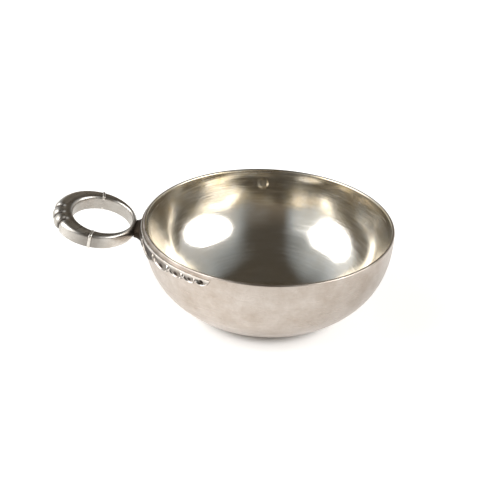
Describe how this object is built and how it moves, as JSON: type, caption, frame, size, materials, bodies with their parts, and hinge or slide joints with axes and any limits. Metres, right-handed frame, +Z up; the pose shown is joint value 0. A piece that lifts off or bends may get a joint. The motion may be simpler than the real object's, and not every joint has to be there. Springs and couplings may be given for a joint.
{
  "type": "tastevin",
  "caption": "Shallow round-bottomed silver wine-tasting bowl with a plain round-edged rim and a ribbed finger ring soldered to scalloped straps on its wall.",
  "frame": {"origin": "centre of the flat that the bowl stands on, at table height", "axes": "+Z up out of the open bowl, -X along the handle, Y across it"},
  "size_m": [0.1094, 0.08, 0.0328],
  "materials": {
    "raised_silver": "hand-raised silver sheet, polished, with fine scratches and a light warm tarnish",
    "strap_silver": "cast and chased silver, dark tarnish in the hollows",
    "ring_silver": "cast silver, polished by handling, darker in the grooves"
  },
  "bodies": {
    "root": {"bowl": "raised_silver", "strap_front": "strap_silver", "strap_back": "strap_silver", "handle_saddle": "strap_silver", "ring_shank": "ring_silver", "ring_knuckle": "ring_silver", "collar_front": "ring_silver", "collar_back": "ring_silver"}
  },
  "joints": []
}
